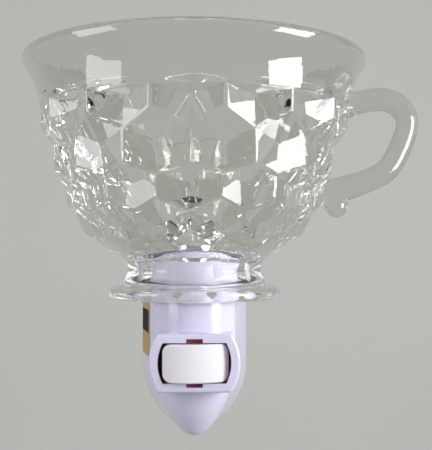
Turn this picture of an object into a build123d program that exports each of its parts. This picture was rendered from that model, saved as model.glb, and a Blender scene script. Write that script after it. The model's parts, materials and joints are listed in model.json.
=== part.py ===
"""Plug-in night light: a pressed-glass footed cup on a two-part plastic plug body.

Millimetres. The origin is the centre of the plug face, +Y points into the wall, +X to the viewer's
right and +Z up. Heights of the cup, bulb and socket are counted from the bottom of the cup's foot.
"""

import os
from math import cos, radians, sin

from build123d import *

os.makedirs("parts", exist_ok=True)

# Where the lamp stands
axis_setback = 26.0
foot_rise = 12.0
switch_drop = 15.5

# Cup
cup_height = 64.4
rim_radius = 45.9
rim_flare = 4.4
lip_thickness = 2.8
flare_height = 10.0
flare_middle_drop = 6.6
flare_middle_out = 1.7
flare_lean = 0.6
foot_radius = 23.0
foot_edge = 3.2
foot_round = 1.0
waist_radius = 18.1
waist_bottom = 5.4
waist_top = 9.8
cup_floor = 14.8
floor_radius = 12.5
cup_back_cut = 25.0
blocks_round = 15
block_turn = -2.2
# Lines down the wall of blocks, through the valleys and through the ridges of the top row:
# each point's share of the way in from the band to the waist, and of cup_height
valley_line = [
    (0.0, 0.7857),
    (0.1368, 0.7593),
    (0.1325, 0.6398),
    (0.141, 0.5171),
    (0.3547, 0.4472),
    (0.3974, 0.3416),
    (0.5, 0.2748),
    (0.765, 0.2112),
]
ridge_line = [
    (0.0, 0.7857),
    (0.0085, 0.705),
    (0.2137, 0.5947),
    (0.2564, 0.4767),
    (0.3162, 0.3898),
    (0.5427, 0.3043),
    (0.6795, 0.2283),
]
# The bowl's inner wall, in the same shares
inner_line = [
    (0.0641, 0.8929),
    (0.1111, 0.854),
    (0.1538, 0.8152),
    (0.2265, 0.7686),
    (0.3077, 0.6988),
    (0.406, 0.618),
    (0.5, 0.5357),
    (0.6154, 0.4534),
    (0.7564, 0.3727),
    (0.9103, 0.3043),
    (1.0769, 0.2516),
]
handle_radius = 3.25
# The handle's middle line, from the band round to the bowl: reach from the band and share of cup_height
handle_shape = [
    (-2.0, 0.8075),
    (3.6, 0.8276),
    (10.0, 0.8385),
    (14.5, 0.8043),
    (16.3, 0.7189),
    (12.1, 0.5652),
    (6.3, 0.5),
    (-7.9, 0.4255),
]
nub_radius = 3.1
nub_inset = 2.9
nub_share = 0.3866

# Housing
body_radius = 11.2
plug_spread = 4.3
housing_wall = 1.5
roof_wall = 1.6
back_wall = 2.0
nose_taper = 20.6
nose_depth = 36.6
nose_tip_radius = 5.0
plug_taper = 21.0
plug_drop = 4.4
plug_tip_radius = 6.0
neck_radius = 9.8
neck_height = 13.0
neck_lip = 1.2
neck_lip_fit = 0.6
shelf_drop = 1.0
shelf_thickness = 1.5
shelf_hole = 7.0
seat_thickness = 0.6
seat_width = 3.0
foot_fit = 0.15

# Switch bezel, window and plate
bezel_stand = 4.3
bezel_inset = 1.9
bezel_bulge = 2.3
bezel_half_height = 7.4
bezel_edge = 0.7
bezel_rim = 1.3
window_bulge = 1.3
window_half_height = 5.1
window_depth = 8.5
notch_width = 4.2
notch_height = 1.0
notch_depth = 2.1
plate_ledge = 1.0
plate_thickness = 0.8
plate_fit = 0.15

# Rocker and the bridge contact that it carries
rocker_side_fit = 0.85
rocker_half_height = 4.85
rocker_corner = 2.2
rocker_crown = 1.9
rocker_sag = 2.6
rocker_depth = 11.0
rocker_back = 0.4
rocker_edge = 0.5
rocker_tilt = 8.0
pivot_recess = 3.5
trunnion_radius = 0.9
trunnion_length = 1.1
trunnion_end_fit = 0.1
running_fit = 0.05
stem_radius = 2.3
stem_length = 2.2
plunger_radius = 1.2
plunger_length = 2.7
plunger_reach = 0.9
plunger_dome = 0.95
spring_wire = 0.35
bridge_end = 0.2
bridge_half_height = 1.6
bridge_thickness = 0.4
button_radius = 0.8
button_height = 0.3
terminal_inset = 6.2

# Blades, straps and fastenings
blade_spacing = 12.7
blade_height = 6.35
blade_thickness = 1.5
blade_length = 17.5
blade_root = 8.0
blade_hole = 1.6
blade_hole_reach = 11.9
blade_flange = 1.9
blade_flange_thickness = 1.0
blade_fit = 0.1
strap_thickness = 0.5
strap_width = 3.0
strap_arm = 1.8
strap_tab = 2.2
shelf_gap = 0.3
rivet_radius = 0.6
rivet_head = 1.0
rivet_head_height = 0.3
rivet_fit = 0.03
screw_rise = 9.1
screw_radius = 1.25
screw_head = 2.3
screw_head_height = 1.6
screw_recess = 14.0
screw_bite = 5.0
screw_fit = 0.1
screw_slot_length = 2.6
screw_slot_width = 0.6
boss_radius = 2.6
pillar_radius = 3.6
label_height = 15.0
label_width = 17.5
label_thickness = 0.12
label_margin = 1.3
label_corner = 0.6

# Socket and bulb
insulator_thickness = 1.8
insulator_fit = 0.1
socket_crest = 6.0
socket_thread = 0.4
socket_sheet = 0.4
socket_flange = 7.8
socket_flange_hole = 3.9
socket_rivet_ring = 4.8
socket_height = 12.4
thread_pitch = 2.54
leaf_width = 3.0
leaf_length = 4.8
leaf_sheet = 0.3
leaf_rise = 0.6
leaf_end = 3.2
contact_gap = 0.05
bulb_contact_radius = 2.2
bulb_contact_height = 1.15
bulb_insulator_height = 1.4
bulb_insulator_radius = 4.6
cap_root = 5.25
cap_crest = 5.75
cap_sheet = 0.4
cap_collar = 6.0
cap_collar_bottom = 13.6
cap_top = 18.7
bulb_neck = 5.3
bulb_neck_bottom = 15.5
bulb_radius = 11.1
bulb_belly = 32.0
bulb_shoulder_radius = 5.8
bulb_shoulder_height = 49.5
bulb_tip = 55.0
bulb_wall = 0.7
stem_base_height = 0.5
stem_dome_radius = 3.9
stem_dome_top = 22.4
stem_press_radius = 1.4
stem_press_top = 27.0
wire_radius = 0.25
wire_foot = 0.7
wire_bury = 1.5
wire_spread = 4.4
wire_top = 37.0
filament_radius = 0.15
filament_rise = 1.6

# Places that follow from the sizes
lamp_y = -axis_setback
lamp_axis = Axis((0, lamp_y, 0), (0, 0, 1))
lamp_base = Plane(origin=(0, lamp_y, foot_rise))
lamp_side = Plane(origin=(0, lamp_y, foot_rise), x_dir=(1, 0, 0), z_dir=(0, -1, 0))
plug_side = Plane(origin=(0, 0, foot_rise), x_dir=(1, 0, 0), z_dir=(0, -1, 0))
parting = Plane(origin=(0, lamp_y, 0), z_dir=(0, -1, 0))
band_radius = rim_radius - rim_flare
flare_bottom = cup_height - flare_height
lip_bottom = cup_height - lip_thickness / 2
lip_inner = rim_radius - lip_thickness
blocks_end = valley_line[-1][1] * cup_height
handle_line = [(band_radius + reach, share * cup_height) for reach, share in handle_shape]
plug_half_width = body_radius + plug_spread
plug_depth = nose_depth + plug_drop
nose_spring = nose_depth - nose_taper
plug_spring = plug_depth - plug_taper
bezel_reach = body_radius + bezel_stand
bezel_corner = body_radius - bezel_inset
window_corner = bezel_corner - bezel_rim
rocker_half_width = window_corner + window_bulge - rocker_side_fit
lamp_terminal_x = body_radius - terminal_inset
bridge_half_length = lamp_terminal_x + button_radius + bridge_end
screw_drop = nose_depth - screw_rise
front_of_axis = Keep.TOP
behind_axis = Keep.BOTTOM
shoulder = -seat_thickness
roof_bottom = shoulder - roof_wall
shelf_top = shoulder - shelf_drop
insulator_top = shelf_top + insulator_thickness
switch_z = foot_rise - switch_drop
bezel_y = lamp_y - bezel_reach
plate_front = bezel_y + window_depth
plate_back = plate_front + plate_thickness
pivot_y = bezel_y + pivot_recess
blade_x = blade_spacing / 2
blade_inner = blade_x - blade_thickness / 2
bearing_depth = trunnion_length + trunnion_end_fit
cup_bore = neck_radius + foot_fit
rocker_frame = Plane(
    origin=(0, pivot_y, switch_z),
    x_dir=(cos(radians(rocker_tilt)), sin(radians(rocker_tilt)), 0),
    z_dir=(0, 0, 1),
)
rocker_front = Plane(
    origin=rocker_frame.from_local_coords((0, rocker_back, 0)),
    x_dir=rocker_frame.x_dir,
    z_dir=rocker_frame.y_dir,
)
plunger_tip = stem_length + bridge_thickness + plunger_reach
centre_head = plate_front - pivot_y - rocker_back - plunger_tip - contact_gap
button_reach = rocker_back + stem_length + bridge_thickness + button_height
button_swing = (lamp_terminal_x + button_radius) * sin(radians(rocker_tilt))
button_back = pivot_y + button_reach * cos(radians(rocker_tilt)) + button_swing
lamp_head = plate_front - button_back - contact_gap
strap_back = plate_back + strap_thickness
strap_end = -back_wall - 2 * blade_flange_thickness
blade_rivet_y = (strap_end - blade_root) / 2
tab_top = foot_rise + shelf_top
tab_bottom = tab_top - strap_thickness
arm_top = tab_top - shelf_thickness - shelf_gap
socket_rivet_x = -socket_rivet_ring * sin(radians(45))
socket_rivet_y = lamp_y + socket_rivet_ring * cos(radians(45))
leaf_top = insulator_top + 2 * leaf_sheet + leaf_rise
bulb_bottom = leaf_top + contact_gap
bulb_insulator_bottom = bulb_bottom + bulb_contact_height
cap_bottom = bulb_insulator_bottom + bulb_insulator_height


def nose_outline(half_width, top, spring, depth, tip_radius):
    """Half of a pointed-nose outline: straight side, long side arc and small tip arc."""
    tip_centre = tip_radius - depth
    drop = -spring - tip_centre
    side_radius = (drop**2 + half_width**2 - tip_radius**2) / (2 * (half_width - tip_radius))
    centre = Vector(half_width - side_radius, -spring)
    to_joint = (Vector(0, tip_centre) - centre).normalized()
    to_middle = (to_joint + Vector(1, 0)).normalized()
    to_tip = (to_joint + Vector(0, -1)).normalized()
    joint = centre + to_joint * side_radius
    Polyline((0, top), (half_width, top), (half_width, -spring))
    ThreePointArc((half_width, -spring), centre + to_middle * side_radius, joint)
    ThreePointArc(joint, Vector(0, tip_centre) + to_tip * tip_radius, (0, -depth))


def half_nose(half_width, top, spring, depth, tip_radius):
    """The right half of the nose outline as a face, ready to revolve."""
    with BuildLine() as outline:
        nose_outline(half_width, top, spring, depth, tip_radius)
        Line((0, -depth), (0, top))
    make_face(outline.edges())


def whole_nose(half_width, top, spring, depth, tip_radius):
    """The nose outline and its mirror image as a face, ready to loft."""
    with BuildLine() as outline:
        nose_outline(half_width, top, spring, depth, tip_radius)
        mirror(about=Plane.YZ)
    make_face(outline.edges())


def barrel(corner, bulge, half_height):
    """A face with straight top and bottom and bulging ends, centred on the switch."""
    with BuildLine() as outline:
        Line((-corner, half_height), (corner, half_height))
        ThreePointArc((corner, half_height), (corner + bulge, 0), (corner, -half_height))
        Line((corner, -half_height), (-corner, -half_height))
        ThreePointArc((-corner, -half_height), (-corner - bulge, 0), (-corner, half_height))
    make_face(outline.edges())


def ring_profile(inner, outer, bottom, top):
    """A rectangle between two radii and two heights, ready to revolve round the lamp axis."""
    with Locations(((inner + outer) / 2, (bottom + top) / 2)):
        Rectangle(outer - inner, top - bottom)


def switch_plane(y):
    """An upright plane at y, facing the viewer, centred on the switch."""
    return Plane(origin=(0, y, switch_z), x_dir=(1, 0, 0), z_dir=(0, -1, 0))


def slab(x, y, z):
    """A block between the given pairs of limits."""
    with Locations(((x[0] + x[1]) / 2, (y[0] + y[1]) / 2, (z[0] + z[1]) / 2)):
        Box(x[1] - x[0], y[1] - y[0], z[1] - z[0])


def facing_wall(x, y):
    """A plane at switch height that faces the wall."""
    return Plane(origin=(x, y, switch_z), z_dir=(0, 1, 0))


def rivet_hole():
    """Cuts a rivet's hole through a thin piece at the present place."""
    Cylinder(rivet_radius + rivet_fit, 4 * strap_thickness, mode=Mode.SUBTRACT)


def rivet(place, grip, head_height=rivet_head_height):
    """A rivet through what lies on the plane, with a head at each end of its grip."""
    on_plane = (Align.CENTER, Align.CENTER, Align.MIN)
    with Locations(place):
        Cylinder(rivet_radius, grip, align=on_plane)
    with Locations(place.offset(-head_height)):
        Cylinder(rivet_head, head_height, align=on_plane)
    with Locations(place.offset(grip)):
        Cylinder(rivet_head, rivet_head_height, align=on_plane)


def lamp_turned(points):
    """Closes an outline of radius and height round the lamp axis, ready to revolve."""
    with BuildLine() as outline:
        Polyline(*points, close=True)
    make_face(outline.edges())


def finish(piece, name):
    """Labels a finished piece and writes it out."""
    piece.part.label = name
    export_step(piece.part, f"parts/{name}.step")


def wall_point(shares):
    """Radius and height of a point given in shares from the band in to the waist, and of the height."""
    inward, upward = shares
    return band_radius - inward * (band_radius - waist_radius), upward * cup_height


def block_line(line, turn):
    """The points of a line down the wall of blocks, turned round the lamp axis."""
    across = Vector(cos(radians(turn)), sin(radians(turn)), 0)
    return [across * radius + Vector(0, 0, height) for radius, height in map(wall_point, line)]


def block_strip(valleys, ridges):
    """Triangles of the wall of blocks between a line of valleys and the next line of ridges."""
    strip, v, r = [], 0, 0
    for row in range(5):
        if row % 2 == 0:
            strip.append((valleys[v], valleys[v + 1], ridges[r]))
            v += 1
        else:
            strip.append((valleys[v], ridges[r + 1], ridges[r]))
            r += 1
        if r + 1 < len(ridges):
            strip.append((valleys[v], valleys[v + 1], ridges[r + 1]))
            strip.append((valleys[v], ridges[r + 1], ridges[r]))
            v, r = v + 1, r + 1
    return strip


def block_wall():
    """A solid with the wall of blocks round it: cube corners that hang between the band and the foot."""
    pitch = 360 / blocks_round
    first = -90 + block_turn
    faces, top, bottom = [], [], []
    for block in range(blocks_round):
        left = block_line(valley_line, first + block * pitch)
        middle = block_line(ridge_line, first + (block + 0.5) * pitch)
        right = block_line(valley_line, first + (block + 1) * pitch)
        faces += block_strip(left, middle) + block_strip(right, middle)
        top += [left[0], middle[0]]
        bottom += [left[-1], middle[-1]]
    hub_top, hub_bottom = Vector(0, 0, top[0].Z), Vector(0, 0, 0)
    faces += [(hub_top, top[i - 1], top[i]) for i in range(len(top))]
    faces += [(hub_bottom, bottom[i - 1], bottom[i]) for i in range(len(bottom))]
    return Solid(Shell([Face(Wire.make_polygon(points)) for points in faces]))


with BuildPart(lamp_base) as glass_cup:
    with BuildSketch(lamp_side):
        with BuildLine():
            foot_side = foot_radius - foot_round
            Line((0, 0), (foot_side, 0))
            ThreePointArc((foot_side, 0), (foot_radius, foot_edge / 2), (foot_side, foot_edge))
            Polyline(
                (foot_side, foot_edge),
                (waist_radius, waist_bottom),
                (waist_radius, waist_top),
                wall_point(valley_line[-1]),
                (0, blocks_end),
                (0, 0),
            )
        make_face()
        with BuildLine():
            band_bottom = valley_line[0][1] * cup_height
            Polyline((0, lip_bottom), (0, band_bottom), (band_radius, band_bottom), (band_radius, flare_bottom))
            Spline(
                (band_radius, flare_bottom),
                (band_radius + flare_middle_out, cup_height - flare_middle_drop),
                (rim_radius, lip_bottom),
                tangents=((0, 1), (flare_lean, 1)),
            )
            ThreePointArc(
                (rim_radius, lip_bottom),
                (rim_radius - lip_thickness / 2, cup_height),
                (lip_inner, lip_bottom),
            )
            Line((lip_inner, lip_bottom), (0, lip_bottom))
        make_face()
    revolve(axis=lamp_axis)
    add(block_wall())
    with BuildLine(lamp_side) as handle_path:
        Spline(*handle_line)
    with BuildSketch(Plane(origin=handle_path.line @ 0, z_dir=handle_path.line % 0)):
        Circle(handle_radius)
    sweep(path=handle_path.line)
    with Locations((band_radius - nub_inset, 0, nub_share * cup_height)):
        Sphere(nub_radius)
    with BuildSketch(lamp_side):
        with BuildLine():
            Line((0, cup_floor), (floor_radius, cup_floor))
            Spline(
                (floor_radius, cup_floor),
                *[wall_point(shares) for shares in reversed(inner_line)],
                (lip_inner, lip_bottom),
            )
            Polyline(
                (lip_inner, lip_bottom),
                (lip_inner, cup_height),
                (0, cup_height),
                (0, cup_floor),
            )
        make_face()
    revolve(axis=lamp_axis, mode=Mode.SUBTRACT)
    with BuildSketch(lamp_base):
        Circle(cup_bore)
    extrude(amount=cup_floor, mode=Mode.SUBTRACT)
    split(bisect_by=parting.offset(-cup_back_cut), keep=Keep.TOP)
finish(glass_cup, "glass_cup")

with BuildPart() as seat_ring:
    with BuildSketch(lamp_side):
        ring_profile(cup_bore, cup_bore + seat_width, shoulder, 0)
    revolve(axis=lamp_axis)
finish(seat_ring, "seat_ring")


def neck_half(side):
    """Adds one half of the neck tube, its top lip and the shelf that the socket stands on."""
    neck_lip_hole = socket_crest + socket_thread + socket_sheet + neck_lip_fit
    with BuildSketch(lamp_side) as neck:
        ring_profile(neck_radius - housing_wall, neck_radius, shoulder - roof_wall, neck_height)
        ring_profile(neck_lip_hole, neck_radius, neck_height - neck_lip, neck_height)
        ring_profile(shelf_hole, body_radius - housing_wall / 2, shelf_top - shelf_thickness, shelf_top)
    revolve(neck.sketch, axis=lamp_axis)
    split(bisect_by=parting, keep=side)


with BuildPart() as front_hollow:
    with BuildSketch(lamp_side):
        half_nose(
            body_radius - housing_wall,
            roof_bottom,
            nose_spring,
            nose_depth - housing_wall,
            nose_tip_radius - housing_wall,
        )
        ring_profile(0, neck_radius - housing_wall, roof_bottom, neck_height)
    revolve(axis=lamp_axis)
    with BuildSketch(lamp_side):
        with Locations((0, -screw_drop)):
            Circle(boss_radius)
    extrude(amount=body_radius, mode=Mode.SUBTRACT)

with BuildPart() as front_housing:
    with BuildSketch(lamp_side):
        half_nose(body_radius, shoulder, nose_spring, nose_depth, nose_tip_radius)
    revolve(axis=lamp_axis)
    with BuildSketch(switch_plane(lamp_y)):
        barrel(bezel_corner, bezel_bulge, bezel_half_height)
    extrude(amount=bezel_reach)
    fillet(front_housing.edges().group_by(Axis.Y)[0], bezel_edge)
    add(front_hollow.part, mode=Mode.SUBTRACT)
    with BuildSketch(switch_plane(bezel_y)):
        barrel(window_corner, window_bulge, window_half_height)
    extrude(amount=-bezel_reach, mode=Mode.SUBTRACT)
    with BuildSketch(switch_plane(bezel_y)):
        Rectangle(notch_width, 2 * (window_half_height + notch_height))
    extrude(amount=-notch_depth, mode=Mode.SUBTRACT)
    with BuildSketch(switch_plane(plate_front)):
        barrel(window_corner, window_bulge + plate_ledge, window_half_height + plate_ledge)
    extrude(amount=lamp_y - plate_front, dir=(0, 1, 0), mode=Mode.SUBTRACT)
    with BuildSketch(Plane(origin=(0, pivot_y, switch_z))):
        Circle(trunnion_radius + running_fit)
    extrude(amount=rocker_half_height + bearing_depth, both=True, mode=Mode.SUBTRACT)
    neck_half(front_of_axis)
    with BuildSketch(lamp_side):
        with Locations((0, -screw_drop)):
            Circle(screw_radius + running_fit)
    extrude(amount=screw_bite + running_fit, mode=Mode.SUBTRACT)
finish(front_housing, "front_housing")

with BuildPart() as rear_housing:
    with BuildSketch(lamp_side):
        whole_nose(body_radius, shoulder, nose_spring, nose_depth, nose_tip_radius)
    with BuildSketch(plug_side):
        whole_nose(plug_half_width, shoulder, plug_spring, plug_depth, plug_tip_radius)
    loft(ruled=True)
    with BuildSketch(lamp_side):
        whole_nose(
            body_radius - housing_wall,
            roof_bottom,
            nose_spring,
            nose_depth - housing_wall,
            nose_tip_radius - housing_wall,
        )
    with BuildSketch(plug_side.offset(back_wall)):
        whole_nose(
            plug_half_width - housing_wall - back_wall * (plug_half_width - body_radius) / axis_setback,
            roof_bottom,
            plug_spring,
            plug_depth - housing_wall - back_wall * (plug_depth - nose_depth) / axis_setback,
            plug_tip_radius - housing_wall,
        )
    loft(ruled=True, mode=Mode.SUBTRACT)
    with BuildSketch(Plane(origin=(0, lamp_y, foot_rise + roof_bottom))):
        Circle(neck_radius - housing_wall)
    extrude(amount=roof_wall, mode=Mode.SUBTRACT)
    with BuildSketch(plug_side):
        with Locations((0, -screw_drop)):
            Circle(pillar_radius)
    extrude(amount=axis_setback)
    neck_half(behind_axis)
    with BuildSketch(plug_side):
        with Locations((0, -screw_drop)):
            Circle(screw_radius + screw_fit)
    extrude(amount=axis_setback, mode=Mode.SUBTRACT)
    with BuildSketch(plug_side):
        with Locations((0, -screw_drop)):
            Circle(screw_head + screw_fit)
    extrude(amount=screw_recess, mode=Mode.SUBTRACT)
    with BuildSketch(plug_side):
        with Locations((-blade_x, -foot_rise), (blade_x, -foot_rise)):
            Rectangle(blade_thickness + 2 * blade_fit, blade_height + 2 * blade_fit)
    extrude(amount=back_wall, mode=Mode.SUBTRACT)
finish(rear_housing, "rear_housing")

flank_along = Vector(body_radius - plug_half_width, axis_setback, 0).normalized()
flank_out = Vector(-axis_setback, body_radius - plug_half_width, 0).normalized()
label_middle = Vector(-plug_half_width, 0, 0) - flank_along * (label_margin + label_width / 2)
label_z = foot_rise + shoulder - label_margin - label_height / 2

with BuildPart() as rating_label:
    with BuildSketch(Plane(origin=label_middle + Vector(0, 0, label_z), x_dir=flank_along, z_dir=flank_out)):
        RectangleRounded(label_width, label_height, label_corner)
    extrude(amount=label_thickness)
finish(rating_label, "rating_label")

with BuildPart() as housing_screw:
    with BuildSketch(plug_side.offset(screw_recess)):
        with Locations((0, -screw_drop)):
            Circle(screw_radius)
    extrude(amount=axis_setback - screw_recess + screw_bite)
    with BuildSketch(plug_side.offset(screw_recess)):
        with Locations((0, -screw_drop)):
            Circle(screw_head)
    extrude(amount=-screw_head_height)
    with BuildSketch(plug_side.offset(screw_recess - screw_head_height)):
        with Locations((0, -screw_drop)):
            Rectangle(screw_slot_length, screw_slot_width)
            Rectangle(screw_slot_width, screw_slot_length)
    extrude(amount=screw_head_height / 2, mode=Mode.SUBTRACT)
finish(housing_screw, "housing_screw")

with BuildPart() as switch_plate:
    with BuildSketch(switch_plane(plate_back)):
        barrel(
            window_corner - plate_fit,
            window_bulge + plate_ledge,
            window_half_height + plate_ledge - plate_fit,
        )
    extrude(amount=plate_thickness)
    with Locations(facing_wall(0, plate_back), facing_wall(-lamp_terminal_x, plate_back)):
        rivet_hole()
finish(switch_plate, "switch_plate")

with BuildPart() as rocker_button:
    with BuildSketch(rocker_front):
        RectangleRounded(2 * rocker_half_width, 2 * rocker_half_height, rocker_corner)
    extrude(amount=-rocker_depth)
    with BuildSketch(rocker_frame):
        crown_y = -pivot_recess - rocker_crown
        end_y = crown_y + rocker_sag
        with BuildLine():
            ThreePointArc((-rocker_half_width, end_y), (0, crown_y), (rocker_half_width, end_y))
            Polyline(
                (rocker_half_width, end_y),
                (rocker_half_width, rocker_back),
                (-rocker_half_width, rocker_back),
                (-rocker_half_width, end_y),
            )
        make_face()
    extrude(amount=rocker_half_height, both=True, mode=Mode.INTERSECT)
    crown = rocker_button.faces().filter_by(GeomType.CYLINDER).sort_by(SortBy.AREA)[-1]
    fillet(crown.edges(), rocker_edge)
    with BuildSketch(rocker_frame):
        Circle(trunnion_radius)
    extrude(amount=rocker_half_height + trunnion_length, both=True)
    with BuildSketch(rocker_front):
        Circle(stem_radius)
    extrude(amount=stem_length)
    with BuildSketch(rocker_front.offset(stem_length)):
        Circle(plunger_radius + running_fit)
    extrude(amount=-stem_length - pivot_recess, mode=Mode.SUBTRACT)
finish(rocker_button, "rocker_button")

with BuildPart() as switch_plunger:
    with BuildSketch(rocker_front.offset(plunger_tip - plunger_length)):
        Circle(plunger_radius)
    extrude(amount=plunger_length)
    fillet(switch_plunger.edges().sort_by(Axis.Y)[-1], plunger_dome)
finish(switch_plunger, "switch_plunger")

with BuildPart() as rocker_spring:
    with BuildSketch(rocker_front.offset(-pivot_recess)):
        Circle(plunger_radius)
        Circle(plunger_radius - spring_wire, mode=Mode.SUBTRACT)
    extrude(amount=pivot_recess + plunger_tip - plunger_length)
finish(rocker_spring, "rocker_spring")

with BuildPart() as bridge_contact:
    with BuildSketch(rocker_front.offset(stem_length)):
        Rectangle(2 * bridge_half_length, 2 * bridge_half_height)
        Circle(plunger_radius + running_fit, mode=Mode.SUBTRACT)
    extrude(amount=bridge_thickness)
    with BuildSketch(rocker_front.offset(stem_length + bridge_thickness)):
        with Locations((-lamp_terminal_x, 0)):
            Circle(button_radius)
    extrude(amount=button_height)
finish(bridge_contact, "bridge_contact")

with BuildPart() as centre_terminal:
    rivet(facing_wall(0, plate_front), plate_thickness + strap_thickness, centre_head)
finish(centre_terminal, "centre_terminal")

with BuildPart() as lamp_terminal:
    rivet(facing_wall(-lamp_terminal_x, plate_front), plate_thickness + strap_thickness, lamp_head)
finish(lamp_terminal, "lamp_terminal")

with BuildPart() as live_strap:
    low, high = switch_z - strap_width / 2, strap_width / 2
    slab((blade_inner - strap_thickness, blade_inner), (plate_back, strap_end), (low, high))
    slab((-strap_width / 2, blade_inner), (plate_back, strap_back), (low, low + strap_width))
    with Locations(facing_wall(0, plate_back)):
        rivet_hole()
    with Locations(Plane(origin=(blade_inner, blade_rivet_y, 0), z_dir=(1, 0, 0))):
        rivet_hole()
finish(live_strap, "live_strap")

with BuildPart() as lamp_strap:
    half = strap_tab / 2
    leg = (-lamp_terminal_x - strap_width / 2, -lamp_terminal_x + strap_width / 2)
    slab((-half, half), (plate_back, lamp_y + half), (tab_bottom, tab_top))
    slab((-half, half), (plate_back, strap_back), (arm_top - strap_arm, tab_top))
    slab((leg[0], half), (plate_back, strap_back), (arm_top - strap_arm, arm_top))
    slab(leg, (plate_back, strap_back), (switch_z - strap_width / 2, arm_top))
    with Locations(facing_wall(-lamp_terminal_x, plate_back), Plane(origin=(0, lamp_y, tab_top))):
        rivet_hole()
finish(lamp_strap, "lamp_strap")

with BuildPart() as neutral_strap:
    half = strap_tab / 2
    riser_front = socket_rivet_y + half
    riser_y = (riser_front, riser_front + strap_thickness)
    tab_x = (socket_rivet_x - half, socket_rivet_x + half)
    low, high = -strap_width / 2, strap_width / 2
    slab(tab_x, (socket_rivet_y - half, riser_y[1]), (tab_bottom, tab_top))
    slab(tab_x, riser_y, (low, tab_top))
    slab((-blade_inner, tab_x[1]), riser_y, (low, high))
    slab((-blade_inner, -blade_inner + strap_thickness), (riser_y[0], strap_end), (low, high))
    with Locations(
        Plane(origin=(socket_rivet_x, socket_rivet_y, tab_top)),
        Plane(origin=(-blade_inner, blade_rivet_y, 0), z_dir=(1, 0, 0)),
    ):
        rivet_hole()
finish(neutral_strap, "neutral_strap")

for side, name in ((-1, "blade_neutral"), (1, "blade_live")):
    with BuildPart() as blade:
        with Locations((side * blade_x, (blade_length - blade_root) / 2, 0)):
            Box(blade_thickness, blade_length + blade_root, blade_height)
        chamfer(blade.faces().sort_by(Axis.Y)[-1].edges().filter_by(Axis.Z), blade_thickness / 3)
        with Locations(Plane(origin=(side * blade_x, blade_hole_reach, 0), z_dir=(1, 0, 0))):
            Cylinder(blade_hole, 2 * blade_thickness, mode=Mode.SUBTRACT)
        with Locations((side * (blade_x + blade_flange / 2), -back_wall - blade_flange_thickness / 2, 0)):
            Box(
                blade_thickness + blade_flange,
                blade_flange_thickness,
                blade_height + 2 * blade_flange_thickness,
            )
        with Locations(Plane(origin=(side * blade_x, blade_rivet_y, 0), z_dir=(1, 0, 0))):
            rivet_hole()
    finish(blade, name)

with BuildPart() as rivets:
    for side in (-1, 1):
        inner = Plane(
            origin=(side * (blade_inner - strap_thickness), blade_rivet_y, 0),
            z_dir=(side, 0, 0),
        )
        rivet(inner, strap_thickness + blade_thickness)
    rivet(
        Plane(origin=(0, lamp_y, tab_bottom)),
        strap_thickness + insulator_thickness + leaf_sheet,
    )
    rivet(
        Plane(origin=(socket_rivet_x, socket_rivet_y, tab_bottom)),
        strap_thickness + insulator_thickness + socket_sheet,
    )
finish(rivets, "rivets")

with BuildPart() as socket_insulator:
    with BuildSketch(lamp_side):
        ring_profile(0, neck_radius - housing_wall - insulator_fit, shelf_top, insulator_top)
    revolve(axis=lamp_axis)
    with Locations(
        Plane(origin=(0, lamp_y, tab_top + insulator_thickness / 2)),
        Plane(origin=(socket_rivet_x, socket_rivet_y, tab_top + insulator_thickness / 2)),
    ):
        rivet_hole()
finish(socket_insulator, "socket_insulator")


def thread_steps(inner, outer, bottom, top):
    """Points up a rolled thread that swings between two radii once a pitch."""
    turns = int((top - bottom) / thread_pitch)
    points = []
    for turn in range(turns):
        points.append((inner, bottom + turn * thread_pitch))
        points.append((outer, bottom + (turn + 0.5) * thread_pitch))
    return points + [(inner, bottom + turns * thread_pitch), (inner, top)]


with BuildPart() as socket_shell:
    wall_bottom = insulator_top + socket_sheet
    inside = thread_steps(socket_crest, socket_crest + socket_thread, wall_bottom, socket_height)
    outside = [(r + socket_sheet, z) for r, z in reversed(inside)]
    with BuildSketch(lamp_side):
        lamp_turned(inside + outside)
        ring_profile(socket_flange_hole, socket_flange, insulator_top, wall_bottom)
    revolve(axis=lamp_axis)
    with Locations((socket_rivet_x, socket_rivet_y, foot_rise + insulator_top)):
        rivet_hole()
finish(socket_shell, "socket_shell")

with BuildPart() as centre_contact:
    side = (lamp_y - leaf_width / 2, lamp_y + leaf_width / 2)
    low, high = foot_rise + insulator_top, foot_rise + leaf_top
    slab((leaf_end - leaf_length, leaf_end), side, (low, low + leaf_sheet))
    slab((leaf_end - leaf_length, leaf_end), side, (high - leaf_sheet, high))
    slab((leaf_end - leaf_sheet, leaf_end), side, (low, high))
    with Locations((0, lamp_y, low)):
        Cylinder(rivet_radius + rivet_fit, leaf_sheet * 3, mode=Mode.SUBTRACT)
finish(centre_contact, "centre_contact")

with BuildPart() as bulb_contact:
    with BuildSketch(lamp_side):
        with BuildLine():
            Line((0, bulb_insulator_bottom), (bulb_contact_radius, bulb_insulator_bottom))
            Line((0, bulb_bottom), (0, bulb_insulator_bottom))
            TangentArc((0, bulb_bottom), (bulb_contact_radius, bulb_insulator_bottom), tangent=(1, 0))
        make_face()
    revolve(axis=lamp_axis)
finish(bulb_contact, "bulb_contact")

with BuildPart() as bulb_insulator:
    with BuildSketch(lamp_side):
        lamp_turned(
            [
                (0, bulb_insulator_bottom),
                (bulb_contact_radius, bulb_insulator_bottom),
                (bulb_insulator_radius, cap_bottom),
                (bulb_insulator_radius, cap_bottom + cap_sheet),
                (0, cap_bottom + cap_sheet),
            ]
        )
    revolve(axis=lamp_axis)
finish(bulb_insulator, "bulb_insulator")

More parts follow.
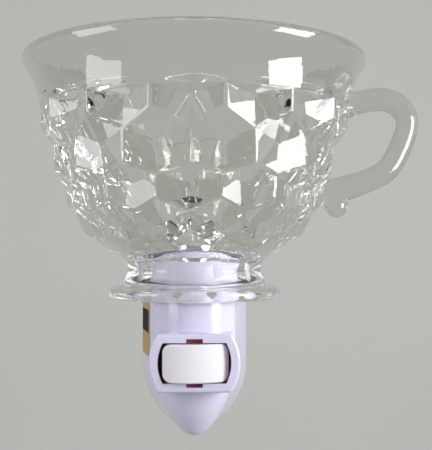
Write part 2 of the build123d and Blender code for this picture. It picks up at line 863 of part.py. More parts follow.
with BuildPart() as bulb_cap:
    outside = [(bulb_insulator_radius, cap_bottom)]
    outside += thread_steps(cap_root, cap_crest, cap_bottom + cap_sheet, cap_collar_bottom)
    outside += [(cap_collar, cap_collar_bottom + cap_collar - cap_root), (cap_collar, cap_top)]
    inside = [(r - cap_sheet, z) for r, z in reversed(outside[1:])]
    with BuildSketch(lamp_side):
        lamp_turned(outside + inside + [(bulb_insulator_radius, cap_bottom + cap_sheet)])
    revolve(axis=lamp_axis)
finish(bulb_cap, "bulb_cap")


def bulb_outline(inset):
    """The envelope's outline, moved in by the inset: neck, belly and flame-shaped tip."""
    with BuildLine() as outline:
        neck = (bulb_neck - inset, bulb_neck_bottom)
        waist = (bulb_neck - inset, cap_top)
        tip = (0, bulb_tip - inset)
        Polyline((0, bulb_neck_bottom), neck, waist)
        Spline(
            waist,
            (bulb_radius - inset, bulb_belly),
            (bulb_shoulder_radius - inset, bulb_shoulder_height),
            tip,
            tangents=((0.3, 1), (-1, 0)),
        )
        Line(tip, (0, bulb_neck_bottom))
    make_face(outline.edges())


with BuildPart() as bulb_glass:
    with BuildSketch(lamp_side):
        bulb_outline(0)
    revolve(axis=lamp_axis)
    with BuildSketch(lamp_side):
        bulb_outline(bulb_wall)
    revolve(axis=lamp_axis, mode=Mode.SUBTRACT)
finish(bulb_glass, "bulb_glass")

with BuildPart() as bulb_stem:
    with BuildSketch(lamp_side):
        ring_profile(0, bulb_neck, bulb_neck_bottom - stem_base_height, bulb_neck_bottom)
        with BuildLine():
            Line((0, bulb_neck_bottom), (stem_dome_radius, bulb_neck_bottom))
            TangentArc(
                (stem_dome_radius, bulb_neck_bottom),
                (stem_press_radius, stem_dome_top),
                tangent=(0, 1),
            )
            Polyline(
                (stem_press_radius, stem_dome_top),
                (stem_press_radius, stem_press_top),
                (0, stem_press_top),
                (0, bulb_neck_bottom),
            )
        make_face()
    revolve(axis=lamp_axis)
finish(bulb_stem, "bulb_stem")

with BuildPart() as lead_wires:
    for side in (-1, 1):
        with BuildLine(lamp_side) as wire:
            Line((side * wire_foot, stem_press_top - wire_bury), (side * wire_spread, wire_top))
        with BuildSketch(Plane(origin=wire.line @ 0, z_dir=wire.line % 0)):
            Circle(wire_radius)
        sweep(path=wire.line)
finish(lead_wires, "lead_wires")

with BuildPart() as filament:
    with BuildLine(lamp_side) as coil:
        ThreePointArc((-wire_spread, wire_top), (0, wire_top + filament_rise), (wire_spread, wire_top))
    with BuildSketch(Plane(origin=coil.line @ 0, z_dir=coil.line % 0)):
        Circle(filament_radius)
    sweep(path=coil.line)
finish(filament, "filament")
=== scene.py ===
"""Looks of a plug-in night light with a pressed-glass cup shade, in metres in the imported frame."""

import json
from math import cos, pi, radians, sin

import bmesh
import bpy
from mathutils import Matrix, Vector
from mathutils.geometry import interpolate_bezier


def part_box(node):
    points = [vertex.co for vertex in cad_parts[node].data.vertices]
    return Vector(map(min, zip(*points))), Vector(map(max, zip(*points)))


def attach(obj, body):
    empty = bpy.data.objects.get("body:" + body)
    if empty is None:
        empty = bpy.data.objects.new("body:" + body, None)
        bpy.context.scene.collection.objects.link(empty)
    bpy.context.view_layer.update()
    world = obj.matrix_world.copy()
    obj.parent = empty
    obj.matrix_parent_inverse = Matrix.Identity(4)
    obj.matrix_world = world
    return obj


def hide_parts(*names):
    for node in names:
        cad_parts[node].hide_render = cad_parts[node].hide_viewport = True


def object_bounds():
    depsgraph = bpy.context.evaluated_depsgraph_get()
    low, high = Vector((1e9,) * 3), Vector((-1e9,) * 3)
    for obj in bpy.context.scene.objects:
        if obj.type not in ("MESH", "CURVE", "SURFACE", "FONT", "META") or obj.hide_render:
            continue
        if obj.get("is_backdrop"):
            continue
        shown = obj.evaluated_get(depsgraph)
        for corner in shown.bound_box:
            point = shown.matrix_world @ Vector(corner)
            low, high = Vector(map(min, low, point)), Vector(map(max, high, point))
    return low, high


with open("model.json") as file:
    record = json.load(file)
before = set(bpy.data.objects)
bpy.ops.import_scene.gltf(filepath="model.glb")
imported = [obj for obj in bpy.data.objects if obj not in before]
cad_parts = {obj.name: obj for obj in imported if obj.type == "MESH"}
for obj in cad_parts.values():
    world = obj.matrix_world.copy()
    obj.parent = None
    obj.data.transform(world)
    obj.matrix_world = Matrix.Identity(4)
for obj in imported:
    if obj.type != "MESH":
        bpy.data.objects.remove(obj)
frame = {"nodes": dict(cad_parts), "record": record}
cad_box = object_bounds()
nodes = frame["nodes"]

MM = 0.001
# The lamp axis and the underside of the glass foot, in mm
lamp_y = -26.0
foot_rise = 12.0
up_axis = Vector((0, 0, 1))
lamp_centre = Vector((0, lamp_y * MM, 0))


# Shader sockets as Python values, and the places of a Mix node's sockets for colours
mix_share, mix_first, mix_second, mix_result = 0, 6, 7, 2


class Socket:
    """A node's output, with Python's operators standing for Math nodes."""

    def __init__(self, tree, output=None):
        self.tree, self.output = tree, output

    def node(self, kind, settings=None, inputs=None, output=0):
        """Adds a node, sets it up, fills or links its sockets and gives one of its outputs."""
        made = self.tree.nodes.new("ShaderNode" + kind)
        for name, value in (settings or {}).items():
            setattr(made, name, value)
        for name, value in (inputs or {}).items():
            if isinstance(value, Socket):
                self.tree.links.new(value.output, made.inputs[name])
            else:
                made.inputs[name].default_value = value
        return Socket(self.tree, made.outputs[output])

    def math(self, operation, first, second):
        return self.node("Math", {"operation": operation}, {0: first, 1: second})

    def __add__(self, other):
        return self.math("ADD", self, other)

    __radd__ = __add__

    def __rsub__(self, other):
        return self.math("SUBTRACT", other, self)

    def __mul__(self, other):
        return self.math("MULTIPLY", self, other)

    __rmul__ = __mul__

    def __lt__(self, other):
        return self.math("LESS_THAN", self, other)

    def __gt__(self, other):
        return self.math("GREATER_THAN", self, other)

    def __and__(self, other):
        return self.math("MINIMUM", self, other)

    def __or__(self, other):
        return self.math("MAXIMUM", self, other)

    def place(self):
        """Object coordinates."""
        return self.node("TexCoord", output="Object")

    def noise(self, scale, detail=2.0, roughness=0.5):
        """Noise from 0 to 1, with its scale in waves a metre."""
        sockets = {"Vector": self.place(), "Scale": scale, "Detail": detail, "Roughness": roughness}
        return self.node("TexNoise", None, sockets)

    def between(self, share, first, second):
        """A colour from the first one to the second, each of them a socket or three numbers."""
        first, second = (c if isinstance(c, Socket) else (*c, 1) for c in (first, second))
        sockets = {mix_share: share, mix_first: first, mix_second: second}
        return self.node("Mix", {"data_type": "RGBA"}, sockets, mix_result)

    def bump(self, height, depth, strength):
        """A normal from a height of 0 to 1, with its depth in metres."""
        return self.node("Bump", None, {"Strength": strength, "Distance": depth, "Height": height})


def finish_of(name, fixed, varied):
    """A material: fixed shader sockets, and a function that gives those that vary over the surface."""
    made = bpy.data.materials.new(name)
    made.use_nodes = True
    tree = made.node_tree
    shader = tree.nodes["Principled BSDF"]
    for socket, value in fixed.items():
        shader.inputs[socket].default_value = value
    for socket, value in varied(Socket(tree)).items():
        tree.links.new(value.output, shader.inputs[socket])
    return made


# A ray that has bounced more often than this goes straight through glass
most_bounces = 5.5
glass_shadow = (0.8, 0.8, 0.8, 1)


def let_light_in(made):
    """Lets light through a glass, so that what stands inside is lit and no ray stays caught in it."""
    tree = made.node_tree
    sheet = Socket(tree)
    glass = Socket(tree, tree.nodes["Principled BSDF"].outputs[0])
    caught = sheet.node("LightPath", output="Ray Depth") > most_bounces
    freed = sheet.node("MixShader", None, {0: caught, 1: glass, 2: sheet.node("BsdfTransparent")})
    clear = sheet.node("BsdfTransparent", None, {"Color": glass_shadow})
    in_shadow = sheet.node("LightPath", output="Is Shadow Ray")
    mixed = sheet.node("MixShader", None, {0: in_shadow, 1: freed, 2: clear})
    tree.links.new(mixed.output, tree.nodes["Material Output"].inputs["Surface"])
    return made


# Finishes
def pressed_glass(s):
    """Pressed glass: a faint grey tint, slow waves and a few dull places."""
    wave = s.noise(70, 1.5)
    return {
        "Base Color": s.between(wave, (0.78, 0.79, 0.755), (0.84, 0.845, 0.815)),
        "Roughness": s.noise(420, 3.0) * 0.02,
        "Normal": s.bump(wave + 0.15 * s.noise(260), 0.0009, 0.35),
    }


def blown_glass(s):
    """Thin blown glass: almost no bending, and a glossy coat that keeps the highlights."""
    wave = s.noise(55, 1.0)
    return {
        "Base Color": s.between(wave, (0.97, 0.98, 0.96), (1.0, 1.0, 1.0)),
        "Roughness": s.noise(300) * 0.012,
        "Coat Weight": 0.9 + 0.1 * wave,
    }


def moulded(dark, light, gloss, grain):
    """A moulded plastic: faint flow shades, uneven gloss and a fine skin."""

    def varied(s):
        flow, skin = s.noise(45, 2.0), s.noise(2600, 2.0)
        return {
            "Base Color": s.between(flow, dark, light),
            "Roughness": gloss + 0.08 * s.noise(160, 4.0),
            "Normal": s.bump(skin + 2.0 * s.noise(130), grain, 0.3),
        }

    return varied


def fibre_board(s):
    """Dark red fibre board with fine flecks."""
    fleck = s.noise(1900, 4.0, 0.7)
    return {
        "Base Color": s.between(fleck, (0.40, 0.06, 0.115), (0.58, 0.10, 0.18)),
        "Roughness": 0.45 + 0.25 * fleck,
        "Normal": s.bump(fleck, 0.00008, 0.6),
    }


def rolled_metal(dark, light, rough, wear=1.0):
    """A rolled or drawn metal: streaks along it, stains and small scratches."""

    def varied(s):
        stretched = s.node("Mapping", None, {"Vector": s.place(), "Scale": (1, 0.15, 1)})
        streak = s.node("TexNoise", None, {"Vector": stretched, "Scale": 1500, "Detail": 3.0})
        stain = s.noise(160, 3.0)
        return {
            "Base Color": s.between(stain, dark, light),
            "Roughness": rough + wear * 0.16 * stain + wear * 0.08 * streak,
            "Normal": s.bump(streak, 0.00003, 0.4 * wear),
        }

    return varied


# The dark block on the label, in metres from the label's lower front corner
label_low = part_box("rating_label")[0]
dark_side, dark_low, dark_high = 0.0016, 0.0066, 0.0130


def gold_foil(s):
    """Gold foil with a plain dark block on it."""
    height = s.node("SeparateXYZ", None, {"Vector": s.place()}, "Z")
    depth = s.node("SeparateXYZ", None, {"Vector": s.place()}, "Y")
    block = (height > label_low.z + dark_low) & (height < label_low.z + dark_high)
    block = block & (depth > label_low.y + dark_side)
    crinkle = s.noise(700, 3.0, 0.6)
    gold = s.between(crinkle, (0.40, 0.26, 0.08), (0.64, 0.45, 0.17))
    black = s.between(crinkle, (0.008, 0.008, 0.009), (0.03, 0.03, 0.032))
    return {
        "Base Color": s.between(block, gold, black),
        "Metallic": 0.5 * (1 - block),
        "Roughness": 0.34 + 0.2 * crinkle + 0.3 * block,
        "Normal": s.bump(crinkle, 0.00006, 0.5),
    }


thick_glass = {"Transmission Weight": 1.0, "IOR": 1.52, "Specular IOR Level": 0.5}
thin_glass = {"Transmission Weight": 1.0, "IOR": 1.04, "Coat IOR": 1.7, "Coat Roughness": 0.0}
metal = {"Metallic": 1.0}
finishes = {
    "cup_glass": let_light_in(finish_of("cup_glass", thick_glass, pressed_glass)),
    "bulb_glass": let_light_in(finish_of("bulb_glass", thin_glass, blown_glass)),
    "housing_plastic": finish_of(
        "housing_plastic",
        {"IOR": 1.5, "Subsurface Weight": 0.12, "Subsurface Scale": 0.002},
        moulded((0.62, 0.605, 0.78), (0.66, 0.645, 0.82), 0.08, 0.00002),
    ),
    "rocker_plastic": finish_of(
        "rocker_plastic",
        {"IOR": 1.5, "Subsurface Weight": 0.1, "Subsurface Scale": 0.002},
        moulded((0.77, 0.765, 0.81), (0.81, 0.805, 0.84), 0.03, 0.00001),
    ),
    "fibre": finish_of("fibre", {}, fibre_board),
    "foil_label": finish_of("foil_label", {"Specular IOR Level": 0.1}, gold_foil),
    "silicone": finish_of(
        "silicone",
        {"Transmission Weight": 0.35, "IOR": 1.41},
        moulded((0.74, 0.75, 0.75), (0.84, 0.85, 0.85), 0.35, 0.00004),
    ),
    "bright_cap": finish_of(
        "bright_cap", metal, rolled_metal((0.80, 0.80, 0.81), (0.92, 0.92, 0.92), 0.01, 0.2)
    ),
    "solder": finish_of("solder", metal, rolled_metal((0.42, 0.42, 0.43), (0.60, 0.60, 0.61), 0.28)),
    "base_glass": finish_of(
        "base_glass", {"IOR": 1.5}, moulded((0.006, 0.006, 0.007), (0.015, 0.015, 0.016), 0.08, 0.00003)
    ),
    "brass": finish_of("brass", metal, rolled_metal((0.62, 0.42, 0.16), (0.80, 0.60, 0.28), 0.16)),
    "steel": finish_of("steel", metal, rolled_metal((0.48, 0.48, 0.49), (0.62, 0.62, 0.63), 0.22)),
    "lamp_wire": finish_of("lamp_wire", metal, rolled_metal((0.30, 0.28, 0.25), (0.46, 0.43, 0.38), 0.25)),
}

for part in frame["record"]["subparts"]:
    skin = nodes[part["node"]].data.materials
    skin.clear()
    skin.append(finishes[part["material_slot"]])


# Making pieces: the largest angle that still shades smooth, and how near points are merged, in metres
smooth_up_to = radians(28)
touching = 1e-6


def smooth_line(points, steps):
    """Points on a smooth line through the given ones."""
    points = [Vector(p) for p in points]
    ends = [2 * points[0] - points[1], *points, 2 * points[-1] - points[-2]]
    line = []
    for before, here, there, after in zip(ends, ends[1:], ends[2:], ends[3:]):
        # A sixth of the way between the neighbours gives each point a smooth tangent
        leaving, arriving = here + (there - before) / 6, there - (after - here) / 6
        line += interpolate_bezier(here, leaving, arriving, there, steps)[:-1]
    return line + [points[-1]]


def spun(bm, profile, steps):
    """Spins an outline of radius and height, in mm above the foot, round the lamp axis."""
    verts = [bm.verts.new((r * MM, lamp_y * MM, (z + foot_rise) * MM)) for r, z in profile]
    edges = [bm.edges.new(pair) for pair in zip(verts, verts[1:])]
    bmesh.ops.spin(
        bm, geom=verts + edges, cent=lamp_centre, axis=up_axis, angle=2 * pi, steps=steps, use_merge=True
    )


def piece(name, bm, slot, body, *stands_for):
    """A finished mesh object that rides on a body and stands for CAD nodes."""
    bmesh.ops.remove_doubles(bm, verts=bm.verts, dist=touching)
    bmesh.ops.recalc_face_normals(bm, faces=bm.faces)
    for face in bm.faces:
        face.smooth = True
    for edge in bm.edges:
        edge.smooth = len(edge.link_faces) == 2 and edge.calc_face_angle() < smooth_up_to
    mesh = bpy.data.meshes.new(name)
    bm.to_mesh(mesh)
    bm.free()
    made = bpy.data.objects.new(name, mesh)
    bpy.context.scene.collection.objects.link(made)
    mesh.materials.append(finishes[slot])
    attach(made, body)
    for node in stands_for:
        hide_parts(node)
    return made


def settle_normals(made):
    """Keeps the broad faces flat and lets only the edges between them turn."""
    modifier = made.modifiers.new("settle", "WEIGHTED_NORMAL")
    modifier.weight = 100
    modifier.keep_sharp = True


# The pressed-glass cup, in mm, its lines given as radius and height above the foot
blocks_in_row = 15
half_block = radians(180 / blocks_in_row)
block_turn = radians(-2.2)
block_rows = 5
corner_round = 0.9
least_corner = radians(8)
strips_touch = 0.01
# Lines down the wall of blocks, through the valleys and the ridges of the top row
valley_line = [
    (41.5, 50.6),
    (37.2, 48.9),
    (37.8, 41.2),
    (38.0, 33.3),
    (32.4, 28.8),
    (32.2, 22.0),
    (30.3, 17.7),
    (23.6, 13.6),
]
ridge_line = [
    (41.5, 50.6),
    (41.3, 45.4),
    (36.1, 38.3),
    (35.2, 30.7),
    (34.4, 25.1),
    (28.0, 19.6),
    (25.6, 14.7),
]
band_bottom = valley_line[0][1]
bowl_end = (22.6, 12.9)
# Heights between which the wall of blocks is joined to the band above and the foot below
band_join = (band_bottom - 1, band_bottom + 1)
foot_join = (bowl_end[1] - 1, 20)
flare_line = [(41.5, 51.0), (41.6, 52.5), (42.2, 55.0), (43.5, 58.0), (44.7, 60.2), (45.7, 62.1)]
lip_middle, lip_round = (44.5, 63.0), 1.4
inner_line = [
    (43.27, 63.6),
    (41.9, 61.2),
    (40.0, 57.5),
    (38.9, 55.0),
    (37.9, 52.5),
    (35.7, 49.5),
    (33.8, 45.0),
    (32.0, 39.8),
    (29.8, 34.5),
    (27.1, 29.2),
    (23.8, 24.0),
    (20.2, 19.6),
    (16.3, 16.2),
    (12.5, 14.8),
]
bore = 9.76
bore_line = [(10.4, 14.6), (bore, 14.0), (bore, 0)]
hollow_line = [(13.2, 0), (14.0, 1.5), (16.4, 2.3), (19.4, 1.7), (20.8, 0)]
foot_reach, foot_round = 21.45, 1.65
foot_line = [
    (21.1, 3.6),
    (20.0, 4.3),
    (18.9, 5.6),
    (18.2, 7.1),
    (18.0, 8.6),
    (18.8, 10.4),
    (20.6, 11.7),
    bowl_end,
]
cup_sides = 240
foot_sides = 12
panel_low, panel_high, panel_depth = 3.4, 11.0, 1.5
panel_inside, panel_outside = 15, 22
cup_back = -1.0
handle_line = [
    (39.0, 51.6),
    (45.1, 53.3),
    (51.5, 54.0),
    (56.0, 51.8),
    (57.8, 46.3),
    (53.6, 36.4),
    (47.8, 32.2),
    (34.0, 27.6),
]
handle_radius, handle_swell, handle_steps, handle_sides = 3.15, 0.9, 8, 28
nub_middle, nub_radius = (38.6, 24.9), 3.1


def block_wall(bm):
    """The wall of blocks between the band and the foot, from one half-block strip."""

    def line(points, turn):
        return [bm.verts.new((r * cos(turn) * MM, r * sin(turn) * MM, z * MM)) for r, z in points]

    valleys, ridges = line(valley_line, 0), line(ridge_line, half_block)
    valley, ridge = 0, 0
    for row in range(block_rows):
        if row % 2 == 0:
            bm.faces.new((valleys[valley], valleys[valley + 1], ridges[ridge]))
            valley += 1
        else:
            bm.faces.new((valleys[valley], ridges[ridge + 1], ridges[ridge]))
            ridge += 1
        if row < block_rows - 1:
            bm.faces.new((valleys[valley], valleys[valley + 1], ridges[ridge + 1], ridges[ridge]))
            valley, ridge = valley + 1, ridge + 1
    bmesh.ops.mirror(bm, geom=bm.verts[:] + bm.edges[:] + bm.faces[:], axis="Y", merge_dist=touching)
    bmesh.ops.rotate(bm, verts=bm.verts, matrix=Matrix.Rotation(-pi / 2 + block_turn, 3, "Z"))
    bmesh.ops.translate(bm, verts=bm.verts, vec=(0, lamp_y * MM, foot_rise * MM))
    bmesh.ops.spin(
        bm,
        geom=bm.verts[:] + bm.edges[:] + bm.faces[:],
        cent=lamp_centre,
        axis=up_axis,
        angle=2 * pi * (blocks_in_row - 1) / blocks_in_row,
        steps=blocks_in_row - 1,
        use_duplicate=True,
    )
    bmesh.ops.remove_doubles(bm, verts=bm.verts, dist=strips_touch * MM)
    bmesh.ops.recalc_face_normals(bm, faces=bm.faces)
    if sum(f.normal.dot(f.calc_center_median() - lamp_centre) for f in bm.faces) < 0:
        bmesh.ops.reverse_faces(bm, faces=bm.faces)
    inside = [e for e in bm.edges if len(e.link_faces) == 2]
    corners = [e for e in inside if e.calc_face_angle_signed() > least_corner]
    bmesh.ops.bevel(
        bm,
        geom=corners,
        offset=corner_round * MM,
        segments=3,
        profile=0.5,
        affect="EDGES",
        material=-1,
        clamp_overlap=True,
    )


def arc(centre, radius, first, last, steps):
    """Points on an arc, its angles in degrees from straight out."""
    turns = [radians(first + (last - first) * i / steps) for i in range(steps + 1)]
    return [Vector((centre[0] + radius * cos(a), centre[1] + radius * sin(a))) for a in turns]


def foot_panels(bm):
    """Presses arched hollows into the foot's slope and waist."""
    half_panel = pi / foot_sides
    for vert in bm.verts:
        out = (vert.co - lamp_centre).to_2d()
        height = vert.co.z / MM - foot_rise
        on_slope = panel_inside * MM < out.length < panel_outside * MM
        if on_slope and panel_low < height < panel_high:
            turn = (out.angle_signed(Vector((0, -1))) + half_panel) % (2 * half_panel) - half_panel
            share = (height - panel_low) / (panel_high - panel_low)
            hollow = (1 - (turn / half_panel) ** 2) * sin(pi * share)
            vert.co.xy = lamp_centre.xy + out.normalized() * (out.length - panel_depth * hollow * MM)


def glass_cup():
    """The cup without its handle: the wall of blocks, and a spun band, lip, inside, bore and foot."""
    bm = bmesh.new()
    block_wall(bm)
    outline = smooth_line(flare_line, 4)
    outline += arc(lip_middle, lip_round, -35, 152, 10)[1:-1]
    outline += smooth_line(inner_line, 5)
    outline += [Vector(p) for p in bore_line]
    outline += smooth_line(hollow_line, 4)
    outline += arc((foot_reach, foot_round), foot_round, -90, 72, 12)
    outline += smooth_line(foot_line, 3)
    spun(bm, outline, cup_sides)
    bmesh.ops.remove_doubles(bm, verts=bm.verts, dist=touching)
    foot_panels(bm)
    rims = [e for e in bm.edges if len(e.link_faces) == 1]
    for low, high in (band_join, foot_join):
        ring = [e for e in rims if all(low < v.co.z / MM - foot_rise < high for v in e.verts)]
        bmesh.ops.bridge_loops(bm, edges=ring)
    bmesh.ops.recalc_face_normals(bm, faces=bm.faces)
    return bm


def rod(bm, line, radii, sides):
    """A bent rod along a line of points, with a radius at each."""
    rings = []
    for i, here in enumerate(line):
        along = (line[min(i + 1, len(line) - 1)] - line[max(i - 1, 0)]).normalized()
        turn = along.to_track_quat("Z", "Y").to_matrix().to_4x4()
        ring = bmesh.ops.create_circle(
            bm,
            segments=sides,
            radius=radii[i],
            cap_ends=i in (0, len(line) - 1),
            matrix=Matrix.Translation(here) @ turn,
        )
        rings.append(list({e for v in ring["verts"] for e in v.link_edges}))
    for ring, after in zip(rings, rings[1:]):
        bmesh.ops.bridge_loops(bm, edges=ring + after)
    bmesh.ops.recalc_face_normals(bm, faces=bm.faces)


def on_side(r, z):
    """A point beside the lamp axis, from radius and height in mm above the foot."""
    return Vector((r * MM, lamp_y * MM, (z + foot_rise) * MM))


def handle():
    """The handle, thicker where it meets the cup."""
    bm = bmesh.new()
    line = [on_side(*p) for p in smooth_line(handle_line, handle_steps)]
    ends = [min(i, len(line) - 1 - i) / handle_steps for i in range(len(line))]
    radii = [(handle_radius + handle_swell * max(0, 1 - end) ** 2) * MM for end in ends]
    rod(bm, line, radii, handle_sides)
    return bm


def joined(name, first, *others):
    """One mesh from bmeshes that overlap."""
    made = []
    for bm in (first, *others):
        mesh = bpy.data.meshes.new(name)
        bm.to_mesh(mesh)
        bm.free()
        made.append(bpy.data.objects.new(name, mesh))
        bpy.context.scene.collection.objects.link(made[-1])
    for other in made[1:]:
        union = made[0].modifiers.new("union", "BOOLEAN")
        union.operation, union.solver, union.object = "UNION", "EXACT", other
    bpy.context.view_layer.update()
    whole = bmesh.new()
    whole.from_mesh(made[0].evaluated_get(bpy.context.evaluated_depsgraph_get()).to_mesh())
    for spent in made:
        bpy.data.objects.remove(spent)
    return whole


def nub():
    """The round nub under the handle's lower end."""
    bm = bmesh.new()
    place = Matrix.Translation(on_side(*nub_middle))
    bmesh.ops.create_uvsphere(bm, u_segments=32, v_segments=20, radius=nub_radius * MM, matrix=place)
    return bm


def cut_back(bm, y):
    """Cuts the cup flat behind and closes the cut."""
    cut = bmesh.ops.bisect_plane(
        bm,
        geom=bm.verts[:] + bm.edges[:] + bm.faces[:],
        plane_co=(0, y * MM, 0),
        plane_no=(0, 1, 0),
        clear_outer=True,
    )
    edges = [g for g in cut["geom_cut"] if isinstance(g, bmesh.types.BMEdge)]
    bmesh.ops.triangle_fill(bm, edges=edges, use_beauty=True)


cup_mesh = joined("cup", glass_cup(), handle(), nub())
cut_back(cup_mesh, cup_back)
cup = piece("pressed_cup", cup_mesh, "cup_glass", "housing", "glass_cup")
settle_normals(cup)


# The red lining of the switch window and its two notches, in mm
bezel_front = -41.5
window_corner, window_bulge, window_half_height, window_steps = 8.0, 1.3, 5.1, 8
lining_front, lining_end, lining_outside, lining_inside = 1.0, 8.3, 0.03, 0.09
notch_half_width, notch_near, notch_far = 2.05, 5.15, 6.05
notch_depth, notch_sheet = 2.0, 0.06


def window_outline(inset):
    """Points round the switch window, moved in by the inset."""
    corner, high = window_corner - inset, window_half_height - inset
    side = []
    for i in range(-window_steps, window_steps + 1):
        side.append((corner + window_bulge * (1 - (i / window_steps) ** 2), high * i / window_steps))
    return side + [(-x, -z) for x, z in side]


def window_lining():
    """A thin sleeve in the window, and a thin plate across each notch."""
    low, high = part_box("switch_plate")
    switch_z = (low.z + high.z) / 2
    bm = bmesh.new()
    outward = [(lining_outside, lining_front), (lining_outside, lining_end)]
    inward = [(lining_inside, lining_end), (lining_inside, lining_front)]
    rings = []
    for inset, depth in outward + inward:
        y = (bezel_front + depth) * MM
        rings.append([bm.verts.new((x * MM, y, switch_z + z * MM)) for x, z in window_outline(inset)])
    # Faces one by one: bridge_loops gave a wrong shape between rings this close together
    for ring, after in zip(rings, rings[1:] + rings[:1]):
        for i in range(len(ring)):
            bm.faces.new((ring[i - 1], ring[i], after[i], after[i - 1]))
    size = (2 * notch_half_width * MM, notch_sheet * MM, (notch_far - notch_near) * MM, 1)
    for side in (-1, 1):
        z = switch_z + side * (notch_near + notch_far) / 2 * MM
        place = Matrix.Translation((0, (bezel_front + notch_depth) * MM, z))
        bmesh.ops.create_cube(bm, size=1, matrix=place @ Matrix.Diagonal(size))
    return bm


piece("window_lining", window_lining(), "fibre", "housing")


# The bulb, in mm, its lines given as radius and height above the foot
bulb_sides = 96
neck_bottom = 15.6
flame_line = [
    (5.25, neck_bottom),
    (5.25, 18.9),
    (6.4, 21.5),
    (8.7, 25.4),
    (10.5, 29.2),
    (11.05, 32.4),
    (10.85, 36.0),
    (10.0, 40.5),
    (8.5, 44.8),
    (6.8, 48.2),
    (4.7, 51.2),
    (2.7, 53.4),
    (1.1, 54.6),
    (0.0, 54.9),
]
cap_bottom = (4.6, 4.1)
thread_radius, thread_start, thread_step, thread_points = 5.1, 4.6, 0.2, 44
thread_low, thread_end, thread_fade = 4.5, 13.2, 1.2
thread_pitch, thread_height = 2.54, 0.2
collar_low, collar_low_round = (5.55, 13.95), 0.45
collar_top, collar_top_round = (5.6, 18.3), 0.4
cap_mouth = [(5.3, 18.7), (5.3, 18.2)]
wire_spread, wire_top = 4.4, 37.0
filament_rise, filament_turns, turn_steps = 1.6, 22, 12
coil_radius, coil_wire_radius, coil_wire_sides = 0.16, 0.055, 6


def bulb_envelope():
    """The blown envelope: a flame shape on a straight neck."""
    bm = bmesh.new()
    spun(bm, [Vector((0.0, neck_bottom)), *smooth_line(flame_line, 5)], bulb_sides)
    return bm


def bulb_screw():
    """The bright cap: a rolled thread below a smooth collar."""
    thread = [(thread_radius, thread_start + thread_step * i) for i in range(thread_points)]
    collar = arc(collar_low, collar_low_round, -60, 0, 4) + arc(collar_top, collar_top_round, 0, 90, 5)
    bm = bmesh.new()
    spun(bm, [Vector(p) for p in (cap_bottom, *thread, *collar, *cap_mouth)], bulb_sides)
    for vert in bm.verts:
        out = vert.co - lamp_centre
        height = vert.co.z / MM - foot_rise
        if thread_low < height < thread_end:
            turn = out.to_2d().angle_signed(Vector((1, 0)))
            fade = min(1, (thread_end - height) / thread_fade)
            swell = thread_height * (1 + cos(2 * pi * height / thread_pitch - turn)) * fade
            vert.co += out.to_2d().normalized().to_3d() * swell * MM
    return bm


def filament_coil():
    """The coiled filament, arched between the tops of the two wires."""
    bm = bmesh.new()
    line = []
    for i in range(filament_turns * turn_steps + 1):
        share = i / (filament_turns * turn_steps)
        middle = on_side(wire_spread * (2 * share - 1), wire_top + filament_rise * 4 * share * (1 - share))
        twist = 2 * pi * i / turn_steps
        line.append(middle + Vector((0, cos(twist), sin(twist))) * coil_radius * MM)
    rod(bm, line, [coil_wire_radius * MM] * len(line), coil_wire_sides)
    return bm


piece("blown_bulb", bulb_envelope(), "bulb_glass", "bulb", "bulb_glass")
piece("bulb_screw", bulb_screw(), "bright_cap", "bulb", "bulb_cap")
piece("filament_coil", filament_coil(), "lamp_wire", "bulb", "filament")


# Camera at the photograph's viewing angle
tilt_up, turn_right = 1.67, 1.43
camera_data = bpy.data.cameras.new("camera")
camera_data.sensor_fit = "VERTICAL"
camera_data.sensor_height = 36
camera_data.lens = 68.64
camera_data.clip_start = 0.001
camera = bpy.data.objects.new("camera", camera_data)
camera.location = (0, -0.258, 0.025)
camera.rotation_euler = (radians(90 + tilt_up), 0, radians(-turn_right))
bpy.context.scene.collection.objects.link(camera)
bpy.context.scene.camera = camera


# Stage and light, with lengths in metres and powers in watts
pale = (0.50, 0.50, 0.482)
mottle = 0.03
floor_z, floor_reach, floor_own_light = -0.07, 1.5, 0.75
backdrop_y, backdrop_reach, backdrop_top, backdrop_own_light = 0.09, 0.6, 0.7, 0.8
box_aside, box_ahead, box_height = 0.160, -0.122, 0.047
box_aim, box_size = (0, -0.036, box_height), (0.085, 0.106)
left_power, right_power = 0.14, 0.38
# The room's tones, and where they change along its directions from -1 to 1
room_tone, front_tone, left_glow, right_glow, seen_tone = 0.38, 0.2, 0.35, 0.7, 0.5
front_spot, front_edge = -0.998, -0.985
glow_edge, glow_full = 0.6, 0.95


def stage_paint(name, tone, own_light, one_sided):
    """A pale stage surface that keeps shadows, and shows its tone to the camera, metal and glass."""
    made = bpy.data.materials.new(name)
    made.use_nodes = True
    tree = made.node_tree
    s = Socket(tree)
    tree.nodes.remove(tree.nodes["Principled BSDF"])
    cloud = s.noise(9, 2.0)
    colour = s.between(cloud, [v * (1 - mottle) for v in tone], [v * (1 + mottle) for v in tone])
    matt = s.node("BsdfDiffuse", None, {"Color": colour})
    glow = s.node("Emission", None, {"Color": colour, "Strength": 1.0})
    seen = s.node("LightPath", output="Is Camera Ray") | s.node("LightPath", output="Is Glossy Ray")
    seen = seen | s.node("LightPath", output="Is Transmission Ray")
    surface = s.node("MixShader", None, {0: seen * own_light, 1: matt, 2: glow})
    if one_sided:
        back = s.node("NewGeometry", output="Backfacing")
        surface = s.node("MixShader", None, {0: back, 1: surface, 2: s.node("BsdfTransparent")})
    tree.links.new(surface.output, tree.nodes["Material Output"].inputs["Surface"])
    return made


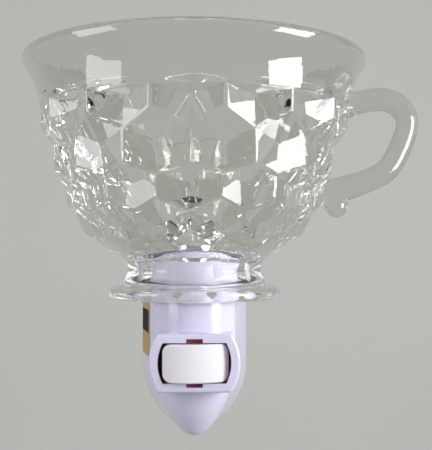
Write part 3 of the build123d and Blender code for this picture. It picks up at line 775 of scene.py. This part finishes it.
def stage_sheet(name, corners, paint):
    bm = bmesh.new()
    bm.faces.new([bm.verts.new(c) for c in corners])
    mesh = bpy.data.meshes.new(name)
    bm.to_mesh(mesh)
    bm.free()
    mesh.materials.append(paint)
    made = bpy.data.objects.new(name, mesh)
    bpy.context.scene.collection.objects.link(made)
    made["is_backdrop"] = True


stage_sheet(
    "floor",
    [
        (-floor_reach, -floor_reach, floor_z),
        (floor_reach, -floor_reach, floor_z),
        (floor_reach, floor_reach, floor_z),
        (-floor_reach, floor_reach, floor_z),
    ],
    stage_paint("floor", pale, floor_own_light, False),
)
stage_sheet(
    "backdrop",
    [
        (-backdrop_reach, backdrop_y, floor_z),
        (backdrop_reach, backdrop_y, floor_z),
        (backdrop_reach, backdrop_y, backdrop_top),
        (-backdrop_reach, backdrop_y, backdrop_top),
    ],
    stage_paint("backdrop", pale, backdrop_own_light, True),
)


def softbox(name, place, aim, size, power):
    data = bpy.data.lights.new(name, "AREA")
    data.shape = "RECTANGLE"
    data.size, data.size_y = size
    data.energy = power
    made = bpy.data.objects.new(name, data)
    made.location = place
    made.rotation_euler = (Vector(aim) - Vector(place)).to_track_quat("-Z", "Y").to_euler()
    made.visible_camera = False
    bpy.context.scene.collection.objects.link(made)


# A softbox on each side of the cup
for side, power in ((-1, left_power), (1, right_power)):
    softbox("box", (side * box_aside, box_ahead, box_height), box_aim, box_size, power)

# A grey room, darker straight in front of the object, brighter on the right and a little on the left
world = bpy.data.worlds.new("room")
bpy.context.scene.world = world
world.use_nodes = True
room = Socket(world.node_tree)
direction = room.node("TexCoord", output="Generated")
ahead = room.node("SeparateXYZ", None, {"Vector": direction}, "Y")
beside = room.node("SeparateXYZ", None, {"Vector": direction}, "X")


def room_step(value, start, end, first, last):
    """A tone that goes from the first to the last as the value goes from start to end."""
    sockets = {"Value": value, "From Min": start, "From Max": end, "To Min": first, "To Max": last}
    return room.node("MapRange", None, sockets)


room_light = room_step(ahead, front_spot, front_edge, front_tone, room_tone)
room_light = room_light + room_step(beside, glow_edge, glow_full, 0, right_glow)
room_light = room_light + room_step(beside, -glow_full, -glow_edge, left_glow, 0)
seen = room.node("LightPath", output="Is Camera Ray")
room_light = room_light * (1 - seen) + seen_tone * seen
world.node_tree.links.new(room_light.output, world.node_tree.nodes["Background"].inputs["Color"])

bpy.context.scene.view_settings.view_transform = "Standard"

sizes = {"cad": cad_box, "visual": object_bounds()}
sizes = {key: [[float(v) for v in corner] for corner in box] for key, box in sizes.items()}
